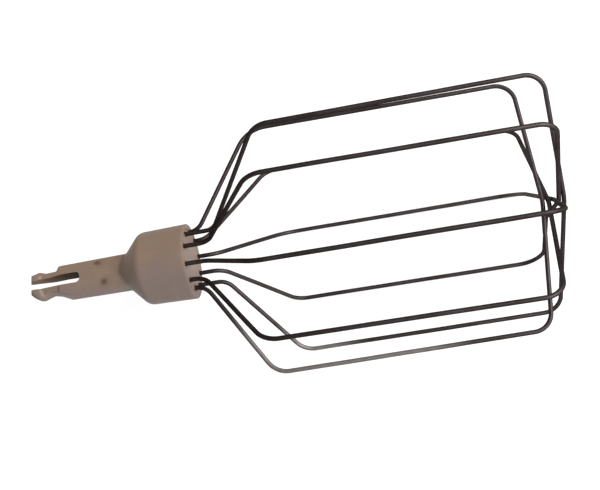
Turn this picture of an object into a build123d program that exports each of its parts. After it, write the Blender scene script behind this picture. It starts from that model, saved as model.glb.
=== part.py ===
from build123d import *
import math
import os

os.makedirs("parts", exist_ok=True)

# Food processor whisk, lying on two legs of its wire cage.
# Millimetres. The hub's axis runs along X, from the snap tail (-X) to the
# far end of the cage (+X), and the whisk is built with the bell's open face
# at x = 0. At the end it is moved so that the origin is under the middle of
# its bounding box, on the surface it lies on.
#
# Angles round the axis are in degrees from straight up, growing towards -Y.

# ---------------------------------------------------------------- dimensions
wire_d = 1.3              # steel wire
leg_ring_r = 8.29         # radius on which the ten legs leave the hub
first_leg_deg = 17.8      # angle of leg position 0
leg_pitch_deg = 36.0
foot_r = 5.3              # how far in the hooked wire ends reach
foot_x = -8.70            # depth of the hooked ends
foot_bend_r = 1.2

# bell of the hub
hub_y = -0.35             # the hub sits this far beside the ring of wires
face_r = 11.0             # at the open face
wall_r = 10.65            # at the back of the straight wall (draft)
wall_back_x = -13.8
cone_slope = 1.04         # radius gained per mm along the axis
cone_ref_x, cone_ref_r = -18.3, 5.8
shoulder_fillet = 3.0
rim_fillet = 0.15
cavity_r = 9.0
cavity_depth = 9.4
mouth_chamfer = 0.2
tail_root_fillet = 1.5

# retainer plug
plug_r = 8.98
plug_len = 8.0
plug_spigot_r = 6.7
plug_spigot_len = 0.9
plug_chamfer = 0.25
notch_r = wire_d / 2 + 0.03

# flat snap tail; "upper" and "lower" are its two narrow sides
tail_t = 5.2              # thickness
tail_face_deg = -9.4      # direction its upper broad face looks
taper_x = -39.3           # the broad faces close in from here to the tip
tip_up_x, tip_lo_x = -48.65, -49.95      # slanted end: upper and lower face
taper_bend = 6.0          # radius with which they start to close in
tip_half_t = 1.32         # half thickness at the middle of the end
slot_end_x = -33.4
slot_up_in, slot_up_out = 1.72, 1.40    # upper side, closed end and mouth
slot_lo = 1.47            # lower side, as far as the head
slot_lo_x, slot_lo_tip = -45.3, 1.09     # from here it narrows to the tip
lower_tip_x = -49.42      # the lower prong ends a little short of the upper one
edge_fillet = 0.45

# One row per leg: (position, exit length, shoulder r, shoulder x, corner r,
#  corner x, cage turn, bend radii at exit, shoulder and corner)
legs = {
    "6": (0, 5.65, 35.75, 23.50, 36.90, 100.20, -0.8, 5.1, 6.0, 5.8),
    "8": (1, 4.20, 36.60, 21.80, 36.90, 98.05, -1.4, 5.1, 7.1, 5.6),
    "10": (2, 3.00, 35.85, 20.25, 35.25, 96.65, 1.5, 5.1, 6.9, 5.3),
    "9": (3, 8.40, 35.15, 26.60, 35.00, 102.85, -0.5, 4.85, 6.6, 5.3),
    "7": (4, 6.95, 35.50, 24.95, 36.05, 103.20, 0.4, 5.9, 6.7, 7.25),
    "5": (5, 5.85, 36.10, 23.35, 36.20, 100.15, 0.9, 5.2, 8.9, 7.5),
    "4": (6, 3.65, 36.50, 22.10, 35.90, 100.10, 0.3, 5.1, 6.9, 5.8),
    "2": (7, 2.65, 36.70, 20.70, 36.20, 98.75, -1.4, 5.1, 9.7, 5.6),
    "1": (8, 8.35, 36.40, 25.95, 36.40, 103.70, 0.2, 4.05, 7.1, 5.5),
    "3": (9, 6.90, 35.75, 24.50, 34.90, 102.55, -1.6, 5.3, 7.25, 5.2),
}
# The five loops, from the one nearest the hub outwards. Each crosses the
# axis one wire further out than the last.
# (leg, leg, crossing x, crossing y and z off the axis, bend radius there)
loops = [
    ("10", "2", 100.75, 0.05, 0.15, 14.5),
    ("8", "4", 102.35, -0.30, 0.25, 13.0),
    ("6", "5", 103.95, 0.10, -0.10, 25.0),
    ("7", "3", 105.30, -0.306, -0.952, 2.5),
    ("9", "1", 106.70, -0.10, 0.10, 22.0),
]

# On leg 7 that wire runs almost straight in towards the axis and rises only
# close to it, to pass over the other loops: (x, distance from the axis, bend
# radius) of the point where it starts to rise.
rise = {"7": (102.23, 9.03, 2.5)}


def around(x, r, deg):
    a = math.radians(deg)
    return (x, -r * math.sin(a), r * math.cos(a))


# -------------------------------------------------------------- wire loops
def leg_points(name):
    pos, z1, r2, x2, r3, x3, turn, b1, b2, b3 = legs[name]
    root = first_leg_deg + leg_pitch_deg * pos
    pts = [
        around(foot_x, foot_r, root),
        around(foot_x, leg_ring_r, root),
        around(z1, leg_ring_r, root),
        around(x2, r2, root + turn),
        around(x3, r3, root + turn),
    ]
    bends = [foot_bend_r, b1, b2, b3]
    if name in rise:
        rise_x, rise_r, rise_bend = rise[name]
        pts.append(around(rise_x, rise_r, root + turn))
        bends.append(rise_bend)
    return pts, bends


wires = []
for leg_a, leg_b, apex_x, apex_y, apex_z, apex_r in loops:
    pa, ra = leg_points(leg_a)
    pb, rb = leg_points(leg_b)
    pts = pa + [(apex_x, apex_y, apex_z)] + pb[::-1]
    path = FilletPolyline(*pts, radius=ra + [apex_r] + rb[::-1])
    start = Plane(origin=path @ 0, z_dir=path % 0)
    loop = sweep(start * Circle(wire_d / 2), path=path)
    section = math.pi * wire_d ** 2 / 4
    print(
        "loop", leg_a, leg_b, "length", round(path.length, 1),
        "volume ratio", round(loop.volume / (section * path.length), 4),
    )
    wires.append(loop)


# ---------------------------------------------------------------- hub bell
def cone_r(x):
    return cone_ref_r + (x - cone_ref_x) * cone_slope


bell_outline = FilletPolyline(
    (0, 0),
    (0, face_r),
    (wall_back_x, wall_r),
    (-22.4, cone_r(-22.4)),
    (-22.4, 0),
    radius=[rim_fillet, shoulder_fillet, 0],
)
bell = Pos(0, hub_y, 0) * revolve(
    make_face(bell_outline + Line((-22.4, 0), (0, 0))), axis=Axis.X
)

# -------------------------------------------------------------- snap tail
# Drawn in the plane of its broad faces: X along the axis, Y from the lower
# narrow side to the upper one.
a_face = math.radians(tail_face_deg)
tail_plane = Plane(
    origin=(0, hub_y, 0),
    x_dir=(1, 0, 0),
    z_dir=(0, -math.sin(a_face), math.cos(a_face)),
)
outline = [
    # point, corner radius
    ((-15.0, -5.14), 0),
    ((-37.3, -5.03), 1.8),
    ((-40.5, -3.53), 3.0),
    ((-42.6, -3.18), 1.5),
    ((-45.4, -4.40), 0.7),
    ((-46.6, -4.24), 1.5),
    ((-48.25, -3.32), 1.2),
    ((-50.4, -0.80), 0),
    ((-50.4, 3.00), 0),
    ((-46.05, 3.86), 1.5),
    ((-43.95, 3.08), 1.5),
    ((-40.6, 3.06), 0.5),
    ((-39.87, 4.50), 0.6),
    ((-15.0, 4.97), 0),
]
profile = make_face(
    FilletPolyline(
        *[p for p, _ in outline], radius=[r for _, r in outline], close=True
    )
)
slot = make_face(
    FilletPolyline(
        (slot_end_x, -slot_lo),
        (slot_end_x, slot_up_in),
        (-39.0, slot_up_in),
        (-42.4, slot_up_out),
        (-53.0, slot_up_out),
        (-53.0, -4.8),
        (lower_tip_x, -4.8),
        (lower_tip_x, -slot_lo_tip),
        (slot_lo_x, -slot_lo),
        radius=[1.3, 1.3, 4.0, 4.0, 0, 0, 0, 0.35, 8.0],
        close=True,
    )
)
tail = extrude(tail_plane * profile, amount=tail_t / 2, both=True)
side_plane = Plane(origin=tail_plane.origin, x_dir=(1, 0, 0), z_dir=-tail_plane.y_dir)
tip_mid_x = (tip_up_x + tip_lo_x) / 2
taper = (tail_t / 2 - tip_half_t) / (taper_x - tip_mid_x)


def half_t(x):
    return tail_t / 2 - taper * (taper_x - x)


wedge = make_face(
    FilletPolyline(
        (-14.0, -tail_t / 2), (taper_x, -tail_t / 2),
        (tip_lo_x, -half_t(tip_lo_x)), (tip_up_x, half_t(tip_up_x)),
        (taper_x, tail_t / 2), (-14.0, tail_t / 2),
        radius=[0, taper_bend, 0, 0, taper_bend, 0], close=True,
    )
)
tail = tail & extrude(side_plane * wedge, amount=8, both=True)


def outer_edges(solid):
    # the edges round both broad faces, without the lines across them where
    # they start to close in and without the end that is inside the bell
    keep = []
    for e in solid.edges():
        c = tail_plane.to_local_coords(e.center())
        a, b = (tail_plane.to_local_coords(e @ t).X for t in (0, 1))
        across = abs(c.X - taper_x) < 1.5 and e.length > 3 and abs(a - b) < 0.01
        if abs(c.Z) > 0.3 and c.X < -15.2 and not across:
            keep.append(e)
    return keep


tail = fillet(outer_edges(tail), edge_fillet)
tail = tail - extrude(tail_plane * slot, amount=tail_t, both=True)

hub = bell + tail
bell_edges = [e.center() for e in bell.edges()] + [e.center() for e in tail.edges()]
root_edges = [
    e for e in hub.edges()
    if -22.5 < e.center().X < -17.5
    and all((e.center() - c).length > 0.01 for c in bell_edges)
]
hub = fillet(root_edges, tail_root_fillet)
cavity = Plane.YZ.offset(-cavity_depth) * Circle(cavity_r)
hub = hub - extrude(cavity, amount=cavity_depth + 1)
hub = chamfer(
    [e for e in hub.edges().filter_by(GeomType.CIRCLE)
     if abs(e.center().X) < 1e-3 and abs(e.radius - cavity_r) < 1e-3],
    mouth_chamfer,
)

# ------------------------------------------------------------ retainer plug
plug = extrude(Plane.YZ.offset(-plug_len) * Circle(plug_spigot_r), amount=plug_len)
plug += extrude(
    Plane.YZ.offset(-plug_len + plug_spigot_len) * Circle(plug_r),
    amount=plug_len - plug_spigot_len,
)
plug = chamfer(
    [e for e in plug.edges().filter_by(GeomType.CIRCLE)
     if abs(e.center().X) < 1e-3 and abs(e.radius - plug_r) < 1e-3],
    plug_chamfer,
)
for pos in range(10):
    deg = first_leg_deg + leg_pitch_deg * pos
    a = math.radians(deg)
    notch_plane = Plane(
        origin=around(-plug_len - 1, 0, deg), x_dir=(0, -math.sin(a), math.cos(a)),
        z_dir=(1, 0, 0),
    )
    notch = Pos(leg_ring_r, 0) * Circle(notch_r) + Pos(leg_ring_r + 1, 0) * Rectangle(
        2, 2 * notch_r
    )
    plug -= extrude(notch_plane * notch, amount=plug_len + 2)

# ------------------------------------------------------------------- output
parts = {"hub_body": hub, "wire_retainer": plug}
for i, w in enumerate(wires):
    parts["whisk_wire_%d" % (i + 1)] = w

box = Compound(children=[Compound(p.wrapped) for p in parts.values()]).bounding_box()
shift = Pos(
    -(box.min.X + box.max.X) / 2, -(box.min.Y + box.max.Y) / 2, -box.min.Z
)
print("shift", shift.position, "size", box.size)
for name, p in parts.items():
    p = shift * p
    p.label = name
    export_step(p, "parts/" + name + ".step")
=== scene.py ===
import math

import bpy
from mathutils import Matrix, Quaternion, Vector, noise


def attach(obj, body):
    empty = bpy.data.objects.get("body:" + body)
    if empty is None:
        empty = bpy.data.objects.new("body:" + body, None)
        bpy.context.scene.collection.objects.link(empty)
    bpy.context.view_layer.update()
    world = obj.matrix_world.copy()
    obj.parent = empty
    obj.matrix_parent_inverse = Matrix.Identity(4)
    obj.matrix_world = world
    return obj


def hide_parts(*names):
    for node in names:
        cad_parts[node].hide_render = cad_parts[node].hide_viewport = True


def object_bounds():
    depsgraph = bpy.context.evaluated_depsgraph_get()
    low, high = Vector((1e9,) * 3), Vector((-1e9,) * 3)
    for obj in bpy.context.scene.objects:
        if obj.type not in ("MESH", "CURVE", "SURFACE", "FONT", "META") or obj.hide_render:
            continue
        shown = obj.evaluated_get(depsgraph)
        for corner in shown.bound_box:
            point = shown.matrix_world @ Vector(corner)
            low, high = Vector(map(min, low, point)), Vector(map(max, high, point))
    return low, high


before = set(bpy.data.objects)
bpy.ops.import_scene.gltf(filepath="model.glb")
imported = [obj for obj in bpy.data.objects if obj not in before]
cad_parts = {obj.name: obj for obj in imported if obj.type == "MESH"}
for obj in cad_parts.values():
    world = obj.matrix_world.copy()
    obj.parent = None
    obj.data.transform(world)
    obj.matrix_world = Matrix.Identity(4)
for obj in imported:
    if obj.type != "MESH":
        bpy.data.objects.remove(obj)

cad_box = [list(v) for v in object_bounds()]
noise.seed_set(11)     # without a seed its vectors differ from run to run

MM = 0.001
SHIFT = Vector((-28.7662, -0.4204, 34.9307))    # where the cage's axis meets the hub's face, mm
AXIS_Y, AXIS_Z = SHIFT.y * MM, SHIFT.z * MM
FACE_X = SHIFT.x * MM


def srgb(r, g, b, gain=1.0):
    def lin(c):
        c /= 255.0
        return c / 12.92 if c <= 0.04045 else ((c + 0.055) / 1.055) ** 2.4
    return (lin(r) * gain, lin(g) * gain, lin(b) * gain, 1.0)


def seen(r, g, b):
    """The paint that looks like this under the bright studio light."""
    return srgb(r, g, b, 0.74)


# ------------------------------------------------------------------ camera
scene = bpy.context.scene
cam_data = bpy.data.cameras.new("camera")
cam_data.sensor_fit = "HORIZONTAL"
cam_data.sensor_width = 36.0
cam_data.lens = 53.269
cam_data.clip_start = 0.01
cam_data.clip_end = 60.0
cam = bpy.data.objects.new("camera", cam_data)
cam.location = (0.0310767, -0.0558391, 0.2816781)
cam.rotation_euler = Quaternion((0.98968937, 0.10354936, 0.06355872, -0.07584697)).to_euler()
scene.collection.objects.link(cam)
scene.camera = cam

scene.view_settings.view_transform = "Standard"
scene.view_settings.look = "None"
scene.view_settings.exposure = 0.0
scene.view_settings.gamma = 1.0


# ------------------------------------------------------------ node helpers
class Nodes:
    """Short words for building a material's nodes."""

    def __init__(self, name):
        self.mat = bpy.data.materials.new(name)
        self.mat.use_nodes = True
        self.tree = self.mat.node_tree
        self.tree.nodes.clear()
        self.out = self.tree.nodes.new("ShaderNodeOutputMaterial")
        self.bsdf = self.tree.nodes.new("ShaderNodeBsdfPrincipled")
        self.tree.links.new(self.bsdf.outputs[0], self.out.inputs["Surface"])

    def put(self, socket, value):
        if isinstance(value, bpy.types.NodeSocket):
            self.tree.links.new(value, socket)
        elif value is not None:
            socket.default_value = value

    def math(self, op, a, b=None, c=None, clamp=False):
        n = self.tree.nodes.new("ShaderNodeMath")
        n.operation = op
        n.use_clamp = clamp
        for i, v in enumerate((a, b, c)):
            if v is not None:
                self.put(n.inputs[i], v)
        return n.outputs[0]

    def vec(self, op, a, b=None, scale=None):
        n = self.tree.nodes.new("ShaderNodeVectorMath")
        n.operation = op
        self.put(n.inputs[0], a)
        if b is not None:
            self.put(n.inputs[1], b)
        if scale is not None:
            self.put(n.inputs["Scale"], scale)
        return n.outputs["Value"] if op in ("LENGTH", "DISTANCE", "DOT_PRODUCT") else n.outputs["Vector"]

    def xyz(self, v):
        n = self.tree.nodes.new("ShaderNodeSeparateXYZ")
        self.put(n.inputs[0], v)
        return n.outputs[0], n.outputs[1], n.outputs[2]

    def join(self, x, y, z):
        n = self.tree.nodes.new("ShaderNodeCombineXYZ")
        for i, v in enumerate((x, y, z)):
            self.put(n.inputs[i], v)
        return n.outputs[0]

    def noise(self, v, scale, detail=3.0, rough=0.5, kind="Fac"):
        n = self.tree.nodes.new("ShaderNodeTexNoise")
        self.put(n.inputs["Vector"], v)
        n.inputs["Scale"].default_value = scale
        n.inputs["Detail"].default_value = detail
        n.inputs["Roughness"].default_value = rough
        return n.outputs[kind]

    def ramp(self, v, a, b, lo=0.0, hi=1.0, smooth=True):
        n = self.tree.nodes.new("ShaderNodeMapRange")
        n.interpolation_type = "SMOOTHSTEP" if smooth else "LINEAR"
        n.clamp = True if not smooth else n.clamp
        self.put(n.inputs[0], v)
        for i, x in enumerate((a, b, lo, hi)):
            n.inputs[i + 1].default_value = x
        return n.outputs[0]

    def mix(self, fac, a, b, kind="MIX"):
        n = self.tree.nodes.new("ShaderNodeMix")
        n.data_type = "RGBA"
        n.blend_type = kind
        n.clamp_factor = True
        self.put(n.inputs[0], fac)
        self.put(n.inputs[6], a)
        self.put(n.inputs[7], b)
        return n.outputs[2]

    def coords(self):
        n = self.tree.nodes.new("ShaderNodeTexCoord")
        return n.outputs["Object"]

    def attribute(self, name):
        n = self.tree.nodes.new("ShaderNodeAttribute")
        n.attribute_type = "GEOMETRY"
        n.attribute_name = name
        return n.outputs["Fac"]

    def bump(self, height, strength, distance):
        n = self.tree.nodes.new("ShaderNodeBump")
        n.inputs["Strength"].default_value = strength
        n.inputs["Distance"].default_value = distance
        self.put(n.inputs["Height"], height)
        self.tree.links.new(n.outputs[0], self.bsdf.inputs["Normal"])
        return n


def at_mm(x, y, z):
    """A place given in mm from the point SHIFT, in the shared frame's metres."""
    return tuple((Vector((x, y, z)) + SHIFT) * MM)


# ---------------------------------------------------------- moulded plastic
def moulded(name, face=False):
    k = Nodes(name)
    p = k.coords()
    x, y, z = k.xyz(p)
    # distance from the hub's axis and place along it, in mm
    dy = k.math("MULTIPLY", k.math("SUBTRACT", y, AXIS_Y), 1000.0)
    dz = k.math("MULTIPLY", k.math("SUBTRACT", z, AXIS_Z), 1000.0)
    dx = k.math("MULTIPLY", k.math("SUBTRACT", x, FACE_X), 1000.0)

    broad = k.noise(p, 130.0, 2.0, 0.5)            # clouds about 8 mm across
    fine = k.noise(p, 1400.0, 3.0, 0.6)            # mottling under 1 mm
    grain = k.noise(p, 9000.0, 2.0, 0.5)           # moulded grain

    warm = seen(142, 120, 103)
    shaded_cool = seen(133, 117, 111)
    # painted shade: the side towards -Y, which faces away from the light, is painted a cooler, darker grey
    side = k.math("ADD", dy, k.math("MULTIPLY", k.math("SUBTRACT", broad, 0.5), 9.0))
    tone = k.mix(k.ramp(side, -7.5, 3.0, 1.0, 0.0), warm, shaded_cool)
    tone = k.mix(k.ramp(broad, 0.35, 0.68, 0.0, 0.30), tone, seen(151, 130, 114))
    tone = k.mix(k.ramp(fine, 0.42, 0.72, 0.0, 0.22), tone, seen(122, 104, 92))
    if face:
        tone = k.mix(0.75, tone, seen(152, 134, 122))
        # painted shade in the gaps where each wire leaves the plug
        ang = k.math("ARCTAN2", k.math("MULTIPLY", dy, -1.0), dz)
        rad = k.math("SQRT", k.math("ADD", k.math("POWER", dy, 2.0), k.math("POWER", dz, 2.0)))
        turn = k.math("DIVIDE", k.math("SUBTRACT", ang, math.radians(17.8)), math.radians(36.0))
        off = k.math("SUBTRACT", turn, k.math("ROUND", turn))
        side_mm = k.math("MULTIPLY", off, math.radians(36.0) * 8.29)
        away = k.math("SQRT", k.math("ADD", k.math("POWER", side_mm, 2.0),
                                     k.math("POWER", k.math("SUBTRACT", rad, 8.29), 2.0)))
        painted_recess_shade = k.math("MULTIPLY", k.ramp(away, 0.7, 1.6, 1.0, 0.0), k.ramp(fine, 0.3, 0.6, 0.45, 0.9))
        tone = k.mix(k.math("MULTIPLY", painted_recess_shade, 0.6), tone, seen(96, 80, 72))
    else:
        def near(px, py, pz, size, soft, wobble=0.5):
            d = k.vec("DISTANCE", p, at_mm(px, py, pz))
            d = k.math("MULTIPLY", d, 1000.0)
            d = k.math("ADD", d, k.math("MULTIPLY", k.math("SUBTRACT", fine, 0.5), wobble))
            return k.ramp(d, size, size + soft, 1.0, 0.0)

        # the tail's own axes: across its broad faces and out of them
        fx = k.math("SUBTRACT", k.math("MULTIPLY", k.math("ADD", dy, 0.35), 0.98657), k.math("MULTIPLY", dz, 0.16333))
        fz = k.math("ADD", k.math("MULTIPLY", k.math("ADD", dy, 0.35), 0.16333), k.math("MULTIPLY", dz, 0.98657))
        # painted shade inside the slot, darker deeper in
        within = k.math("MULTIPLY", k.ramp(k.math("ABSOLUTE", fx), 1.76, 1.84, 1.0, 0.0),
                        k.ramp(dx, -33.25, -33.05, 1.0, 0.0))
        thick = k.math("ADD", 2.6, k.math("MULTIPLY", k.math("MINIMUM", k.math("ADD", dx, 39.3), 0.0), 0.128))
        below = k.math("SUBTRACT", thick, k.math("ABSOLUTE", fz))
        within = k.math("MULTIPLY", within, k.ramp(below, 0.0, 0.22, 0.0, 1.0))
        deep = k.ramp(dx, -47.5, -37.5, 0.22, 0.86)
        painted_recess_shade = k.mix(k.ramp(dx, -45.0, -38.0, 0.0, 1.0), seen(92, 66, 54), seen(66, 48, 40))
        tone = k.mix(k.math("MULTIPLY", within, deep), tone, painted_recess_shade)

        # two dark smudges on the tail, the first one small and drawn out
        a = k.vec("MULTIPLY", k.vec("SUBTRACT", p, at_mm(-27.835, 3.36, 2.03)), (0.55, 1.0, 1.0))
        a = k.math("MULTIPLY", k.vec("LENGTH", a), 1000.0)
        tone = k.mix(k.ramp(a, 0.15, 0.95, 0.72, 0.0), tone, seen(66, 55, 38))
        tone = k.mix(k.math("MULTIPLY", near(-26.9, 3.45, 2.0, 0.6, 1.8), 0.26), tone, seen(104, 86, 58))
        tone = k.mix(k.math("MULTIPLY", near(-25.885, -2.69, 3.03, 0.30, 1.15), 0.72), tone, seen(76, 58, 48))
        tone = k.mix(k.math("MULTIPLY", near(-25.575, -2.88, 3.03, 0.8, 2.2), 0.26), tone, seen(96, 78, 68))
        # painted shade along the crease across the lower prong where it starts to taper
        crease = k.math("ABSOLUTE", k.math("SUBTRACT", dx, -39.84))
        crease = k.math("ADD", crease, k.math("MULTIPLY", k.math("SUBTRACT", fine, 0.5), 0.25))
        lower = k.math("MULTIPLY", k.ramp(fx, -1.9, -1.4, 1.0, 0.0), k.ramp(fx, -4.0, -3.0, 0.25, 1.0))
        tone = k.mix(k.math("MULTIPLY", k.ramp(crease, 0.05, 0.55, 0.62, 0.0), lower), tone, seen(84, 66, 52))
        # scuffs on the step of the upper prong
        scuff = k.ramp(k.math("SINE", k.math("MULTIPLY", k.math("ADD", dx, 39.30), 6.6)), -0.2, 0.9)
        there = k.math("MULTIPLY", k.ramp(k.math("ABSOLUTE", k.math("ADD", dx, 38.9)), 0.4, 0.8, 1.0, 0.0),
                       k.ramp(fx, 2.9, 3.5, 0.0, 1.0))
        tone = k.mix(k.math("MULTIPLY", k.math("MULTIPLY", scuff, there), 0.35), tone, seen(176, 158, 148))
        # the heads are painted lighter: partly rubbed wear, partly painted highlight on their rounded ends
        head = k.math("MULTIPLY", k.ramp(dx, -47.6, -43.2, 1.0, 0.0), k.ramp(broad, 0.3, 0.6, 0.35, 0.8))
        tone = k.mix(k.math("MULTIPLY", head, 0.60), tone, seen(158, 138, 126))
        # painted highlight: a bright spot on the upper head
        tone = k.mix(k.math("MULTIPLY", near(-45.83, 2.06, 1.39, 0.1, 0.7), 0.7), tone, seen(196, 178, 164))
        # painted highlight on the lower head's sloping facet, with some rubbed wear
        streak = k.vec("SUBTRACT", p, at_mm(-45.35, -2.75, 2.25))
        along = k.vec("DOT_PRODUCT", streak, (-0.50, 0.855, 0.14))
        across = k.vec("DOT_PRODUCT", streak, (0.863, 0.495, 0.09))
        streak = k.math("SQRT", k.math("ADD", k.math("POWER", k.math("MULTIPLY", along, 520.0), 2.0),
                                       k.math("POWER", k.math("MULTIPLY", across, 1500.0), 2.0)))
        streak = k.math("ADD", streak, k.math("MULTIPLY", k.math("SUBTRACT", fine, 0.5), 1.0))
        tone = k.mix(k.ramp(streak, 0.25, 1.15, 0.70, 0.0), tone, seen(186, 168, 158))
        # painted shade on the chamfered tips of the heads, which face away from the light
        tip = k.math("ADD", dx, k.math("MULTIPLY", k.math("ADD", fx, 2.6), 0.9))
        tip = k.math("ADD", tip, k.math("MULTIPLY", k.math("SUBTRACT", fine, 0.5), 0.8))
        tip = k.math("MULTIPLY", k.ramp(tip, -48.7, -46.8, 0.72, 0.0), k.ramp(fx, -0.8, -0.4, 1.0, 0.0))
        tone = k.mix(tip, tone, seen(92, 84, 78))
        end = k.math("MULTIPLY", k.ramp(dx, -49.4, -46.8, 0.42, 0.0), k.ramp(fx, 0.2, 0.8, 0.0, 1.0))
        tone = k.mix(end, tone, seen(100, 88, 80))
        # painted highlight along the rounded rim at the open face, in a warm tone
        rim_highlight = k.math("MULTIPLY", k.ramp(dx, -1.5, -0.2, 0.0, 1.0), k.ramp(broad, 0.35, 0.65, 0.3, 0.9))
        tone = k.mix(k.math("MULTIPLY", rim_highlight, 0.35), tone, seen(160, 134, 116))
    k.put(k.bsdf.inputs["Base Color"], tone)
    rough = k.math("ADD", 0.46, k.math("MULTIPLY", fine, 0.16))
    if not face:
        rough = k.math("ADD", rough, k.math("MULTIPLY", within, 0.38))    # duller surface in the slot, under its painted shade
    k.put(k.bsdf.inputs["Roughness"], rough)
    k.bsdf.inputs["Specular IOR Level"].default_value = 0.12
    k.bsdf.inputs["IOR"].default_value = 1.49
    height = k.math("ADD", k.math("MULTIPLY", grain, 0.5), k.math("MULTIPLY", fine, 0.8))
    k.bump(height, 0.22, 0.00008)
    return k.mat


# ------------------------------------------------------------- drawn steel
def steel():
    k = Nodes("drawn_steel_dark")
    along = k.attribute("along")        # mm from one end of the wire
    turn = k.attribute("round")         # 0 to 1 round its section
    highlight = k.attribute("highlight")          # where the steel is painted lighter as a highlight
    ca = k.math("COSINE", k.math("MULTIPLY", turn, 2 * math.pi))
    sa = k.math("SINE", k.math("MULTIPLY", turn, 2 * math.pi))
    lines = k.noise(k.join(k.math("MULTIPLY", along, 0.035), k.math("MULTIPLY", ca, 3.2),
                           k.math("MULTIPLY", sa, 3.2)), 2.0, 4.0, 0.65)
    p = k.coords()
    cloud = k.noise(p, 90.0, 3.0, 0.55)
    blot = k.noise(p, 520.0, 3.0, 0.6)
    tone = k.mix(k.ramp(cloud, 0.36, 0.66), (0.042, 0.030, 0.030, 1), (0.062, 0.050, 0.053, 1))
    tone = k.mix(k.ramp(blot, 0.45, 0.75, 0.0, 0.5), tone, (0.076, 0.062, 0.060, 1))
    tone = k.mix(k.ramp(lines, 0.40, 0.70, 0.0, 0.45), tone, (0.090, 0.075, 0.072, 1))
    # painted light: the steel is painted lighter towards the far end and darker where the wires lie higher, standing
    # in for how they reflect the light and the bright floor
    px, py, pz = k.xyz(p)
    reflection_shade = k.ramp(k.math("ADD", px, k.math("MULTIPLY", cloud, 0.02)), 0.005, 0.060, 0.80, 0.97)
    reflection_shade = k.math("MULTIPLY", reflection_shade, k.ramp(pz, 0.020, 0.065, 1.06, 0.93))
    tone = k.vec("SCALE", tone, scale=reflection_shade)
    # painted highlight: the steel turns lighter where the per-point amount says
    highlight_mix = k.math("MULTIPLY", highlight, k.ramp(blot, 0.25, 0.6, 0.75, 1.0))
    tone = k.mix(highlight_mix, tone, (0.34, 0.31, 0.30, 1))
    k.put(k.bsdf.inputs["Base Color"], tone)
    k.bsdf.inputs["Metallic"].default_value = 1.0
    k.bsdf.inputs["Specular Tint"].default_value = (0.06, 0.05, 0.055, 1)
    rough = k.math("ADD", 0.40, k.math("MULTIPLY", lines, 0.20))
    k.put(k.bsdf.inputs["Roughness"], rough)
    k.bump(k.math("ADD", lines, k.math("MULTIPLY", blot, 0.4)), 0.25, 0.00003)
    return k.mat


# ------------------------------------------------------------- wire loops
WIRE_R = 0.65
RING_R, FOOT_R, FOOT_X, FOOT_BEND = 8.29, 5.3, -8.70, 1.2
LEGS = {
    "6": (0, 5.65, 35.75, 23.50, 36.90, 100.20, -0.8, 5.1, 6.0, 5.8),
    "8": (1, 4.20, 36.60, 21.80, 36.90, 98.05, -1.4, 5.1, 7.1, 5.6),
    "10": (2, 3.00, 35.85, 20.25, 35.25, 96.65, 1.5, 5.1, 6.9, 5.3),
    "9": (3, 8.40, 35.15, 26.60, 35.00, 102.85, -0.5, 4.85, 6.6, 5.3),
    "7": (4, 6.95, 35.50, 24.95, 36.05, 103.20, 0.4, 5.9, 6.7, 7.25),
    "5": (5, 5.85, 36.10, 23.35, 36.20, 100.15, 0.9, 5.2, 8.9, 7.5),
    "4": (6, 3.65, 36.50, 22.10, 35.90, 100.10, 0.3, 5.1, 6.9, 5.8),
    "2": (7, 2.65, 36.70, 20.70, 36.20, 98.75, -1.4, 5.1, 9.7, 5.6),
    "1": (8, 8.35, 36.40, 25.95, 36.40, 103.70, 0.2, 4.05, 7.1, 5.5),
    "3": (9, 6.90, 35.75, 24.50, 34.90, 102.55, -1.6, 5.3, 7.25, 5.2),
}
LOOPS = [
    ("10", "2", 100.75, 0.05, 0.15, 14.5),
    ("8", "4", 102.35, -0.30, 0.25, 13.0),
    ("6", "5", 103.95, 0.10, -0.10, 25.0),
    ("7", "3", 105.30, -0.306, -0.952, 2.5),
    ("9", "1", 106.70, -0.10, 0.10, 22.0),
]
# Leg 7 runs in towards the axis and rises only close to it, over the other
# loops: (x, distance from the axis, bend radius) of where the rise starts.
RISE = {"7": (102.23, 9.03, 2.5)}
# Where the steel is painted lighter, as painted highlights and reflections: (leg, start, full from, full to, end, how
# much), in mm along the hub's axis from its open face.
PAINTED_HIGHLIGHTS = [
    ("10", 8.0, 17.0, 60.0, 79.0, 0.60),
    ("9", 18.0, 28.0, 32.0, 48.0, 0.66),
    ("9", 4.0, 16.0, 24.0, 40.0, 0.04),
    ("7", 4.0, 10.0, 22.0, 28.0, 0.07),
    ("5", 2.0, 6.0, 92.0, 95.0, 0.04),
    ("5", 93.0, 99.0, 105.0, 112.0, 0.30),
    ("4", 3.0, 8.0, 90.0, 110.0, 0.04),
    ("2", 60.0, 90.0, 98.0, 110.0, 0.08),
    ("1", 88.0, 97.0, 103.0, 110.0, 0.08),
    ("3", 88.0, 96.0, 102.0, 110.0, 0.08),
    ("6", 98.0, 101.5, 103.0, 105.0, 0.20),
    ("6", -1.0, 3.0, 14.0, 24.0, 0.06),
]


def around(x, r, deg):
    a = math.radians(deg)
    return Vector((x, -r * math.sin(a), r * math.cos(a)))


def leg_points(name):
    pos, z1, r2, x2, r3, x3, turn, b1, b2, b3 = LEGS[name]
    root = 17.8 + 36.0 * pos
    points = [around(FOOT_X, FOOT_R, root), around(FOOT_X, RING_R, root), around(z1, RING_R, root),
              around(x2, r2, root + turn), around(x3, r3, root + turn)]
    radii = [FOOT_BEND, b1, b2, b3]
    if name in RISE:
        rise_x, rise_r, rise_bend = RISE[name]
        points.append(around(rise_x, rise_r, root + turn))
        radii.append(rise_bend)
    return points, radii


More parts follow.
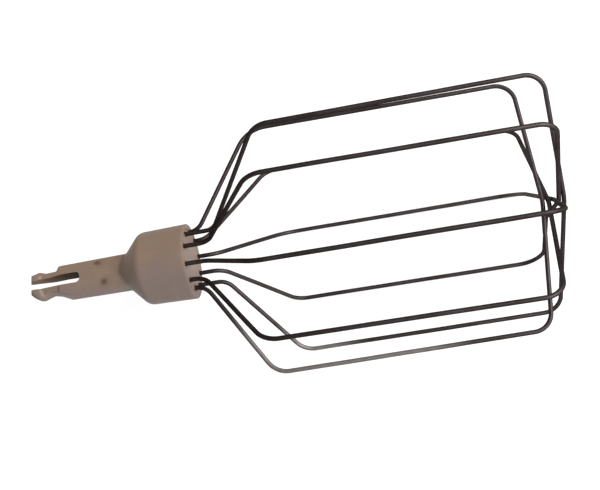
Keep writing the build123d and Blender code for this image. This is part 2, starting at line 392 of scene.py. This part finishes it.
def bent(points, radii):
    """The wire's centreline: straight runs joined by tangent arcs."""
    line = [points[0].copy()]

    def run_to(q):
        p = line[-1]
        n = max(1, int((q - p).length / 1.4))
        for i in range(1, n + 1):
            line.append(p.lerp(q, i / n))

    for i in range(1, len(points) - 1):
        p, r = points[i], radii[i - 1]
        u = (points[i - 1] - p).normalized()
        v = (points[i + 1] - p).normalized()
        turn = math.pi - u.angle(v)
        t = r * math.tan(turn / 2)
        start, end = p + u * t, p + v * t
        centre = p + (u + v).normalized() * math.hypot(r, t)
        run_to(start)
        a, b = start - centre, end - centre
        n = max(4, int(math.ceil(turn / math.radians(5.0))))
        for j in range(1, n + 1):
            f = j / n
            w = (math.sin((1 - f) * turn) * a + math.sin(f * turn) * b) / math.sin(turn)
            line.append(centre + w)
    run_to(points[-1])
    return line


def highlight_at(leg, x):
    w = 0.0
    for name, x0, x1, x2, x3, amount in PAINTED_HIGHLIGHTS:
        if name == leg:
            inside = min((x - x0) / (x1 - x0), (x3 - x) / (x3 - x2), 1.0)
            if inside > 0:
                w = max(w, amount * inside * inside * (3 - 2 * inside))
    return w


def make_wire(index, loop, material):
    leg_a, leg_b, ax, ay, az, ar = loop
    pa, ra = leg_points(leg_a)
    pb, rb = leg_points(leg_b)
    pts = pa + [Vector((ax, ay, az))] + pb[::-1]
    line = bent(pts, ra + [ar] + rb[::-1])
    half = min(range(len(line)), key=lambda i: (line[i] - Vector((ax, ay, az))).length)
    # hand bending: the free legs waver by a few hundredths of a millimetre
    rng = Vector((index * 17.3, index * 5.1, 3.7))
    shaped = []
    for i, q in enumerate(line):
        free = min(1.0, max(0.0, q.x / 12.0)) * min(1.0, max(0.0, (100.0 - q.x) / 12.0))
        w = noise.noise_vector(rng + Vector((i * 0.09, 0, 0))) * 0.07 * free
        shaped.append(q + w)
    line = shaped
    seg = 20
    verts, faces, along, rnd, highlight = [], [], [], [], []
    side = None
    dist = 0.0
    for i, q in enumerate(line):
        d = (line[min(i + 1, len(line) - 1)] - line[max(i - 1, 0)]).normalized()
        if side is None:
            side = d.orthogonal().normalized()
        side = (side - d * side.dot(d)).normalized()
        other = d.cross(side)
        if i:
            dist += (q - line[i - 1]).length
        leg = leg_a if i <= half else leg_b
        # how much painted highlight this point gets
        w = highlight_at(leg, q.x)
        # the drawn section is not quite even
        r = WIRE_R * (1.0 + 0.012 * noise.noise(rng * 2 + Vector((i * 0.23, 0, 0))) - 0.008)
        for s in range(seg):
            a = 2 * math.pi * s / seg
            v = (q + (side * math.cos(a) + other * math.sin(a)) * r + SHIFT) * MM
            for c in range(3):
                v[c] = min(max(v[c], cad_box[0][c]), cad_box[1][c])
            verts.append(v)
            along.append(dist)
            rnd.append(s / seg)
            highlight.append(w)
    rings = len(line)
    for i in range(rings - 1):
        for s in range(seg):
            t = (s + 1) % seg
            faces.append((i * seg + s, i * seg + t, (i + 1) * seg + t, (i + 1) * seg + s))
    faces.append(tuple(range(seg))[::-1])
    last = (rings - 1) * seg
    faces.append(tuple(last + s for s in range(seg)))
    me = bpy.data.meshes.new("loop_%d" % index)
    me.from_pydata(verts, [], faces)
    for name, values in (("along", along), ("round", rnd), ("highlight", highlight)):
        at = me.attributes.new(name, "FLOAT", "POINT")
        at.data.foreach_set("value", values)
    me.polygons.foreach_set("use_smooth", [True] * (len(faces) - 2) + [False] * 2)
    me.materials.append(material)
    me.update()
    ob = bpy.data.objects.new("drawn_wire_%d" % index, me)
    scene.collection.objects.link(ob)
    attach(ob, "root")
    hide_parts("whisk_wire_%d" % index)
    return ob


wire_mat = steel()
wires = [make_wire(i + 1, loop, wire_mat) for i, loop in enumerate(LOOPS)]

# ------------------------------------------------------------ hub and plug
hub_mat = moulded("hub_moulding")
plug_mat = moulded("plug_moulding", face=True)
for node, mat in (("hub_body", hub_mat), ("wire_retainer", plug_mat)):
    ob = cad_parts[node]
    for s in ob.material_slots:
        s.material = mat

# ------------------------------------------------------------------- floor
k = Nodes("floor_paper")
p = k.coords()
soft = k.noise(p, 3.0, 2.0, 0.5)
k.put(k.bsdf.inputs["Base Color"], k.mix(k.ramp(soft, 0.3, 0.7), (0.40, 0.40, 0.40, 1), (0.42, 0.42, 0.42, 1)))
k.bsdf.inputs["Roughness"].default_value = 0.85
k.bsdf.inputs["Specular IOR Level"].default_value = 0.1
# a light table: the sheet glows a little, so that it carries no grey shadows
k.bsdf.inputs["Emission Color"].default_value = (1.0, 1.0, 1.0, 1)
k.bsdf.inputs["Emission Strength"].default_value = 0.66
me = bpy.data.meshes.new("floor")
s = 6.0
me.from_pydata([(-s, -s, 0), (s, -s, 0), (s, s, 0), (-s, s, 0)], [], [(0, 1, 2, 3)])
me.materials.append(k.mat)
floor = bpy.data.objects.new("floor", me)
scene.collection.objects.link(floor)


# ------------------------------------------------------------------ lights
def softbox(name, place, target, size, power, colour=(1, 1, 1)):
    d = bpy.data.lights.new(name, "AREA")
    d.shape = "RECTANGLE"
    d.size, d.size_y = size
    d.energy = power
    d.color = colour
    ob = bpy.data.objects.new(name, d)
    ob.location = place
    ob.rotation_euler = (Vector(target) - Vector(place)).to_track_quat("-Z", "Y").to_euler()
    scene.collection.objects.link(ob)
    return ob


softbox("key", (1.00, -0.08, 1.35), (0, 0, 0.03), (1.4, 1.2), 36.0)

world = bpy.data.worlds.new("studio")
world.use_nodes = True
wt = world.node_tree
wt.nodes.clear()
w_out = wt.nodes.new("ShaderNodeOutputWorld")
w_bg = wt.nodes.new("ShaderNodeBackground")
w_tc = wt.nodes.new("ShaderNodeTexCoord")
w_xyz = wt.nodes.new("ShaderNodeSeparateXYZ")
w_ramp = wt.nodes.new("ShaderNodeMapRange")
w_ramp.interpolation_type = "SMOOTHSTEP"
wt.links.new(w_tc.outputs["Generated"], w_xyz.inputs[0])
wt.links.new(w_xyz.outputs[2], w_ramp.inputs[0])
for i, x in enumerate((0.15, 0.85, 0.82, 0.46)):
    w_ramp.inputs[i + 1].default_value = x
w_bg.inputs[0].default_value = (1.0, 1.0, 1.0, 1.0)
# brighter towards the key's side
w_side = wt.nodes.new("ShaderNodeMath")
w_side.operation = "MULTIPLY_ADD"
wt.links.new(w_xyz.outputs[0], w_side.inputs[0])
w_side.inputs[1].default_value = 0.30
w_side.inputs[2].default_value = 0.90
w_all = wt.nodes.new("ShaderNodeMath")
w_all.operation = "MULTIPLY"
wt.links.new(w_ramp.outputs[0], w_all.inputs[0])
wt.links.new(w_side.outputs[0], w_all.inputs[1])
wt.links.new(w_all.outputs[0], w_bg.inputs["Strength"])
wt.links.new(w_bg.outputs[0], w_out.inputs[0])
scene.world = world

bpy.context.view_layer.update()
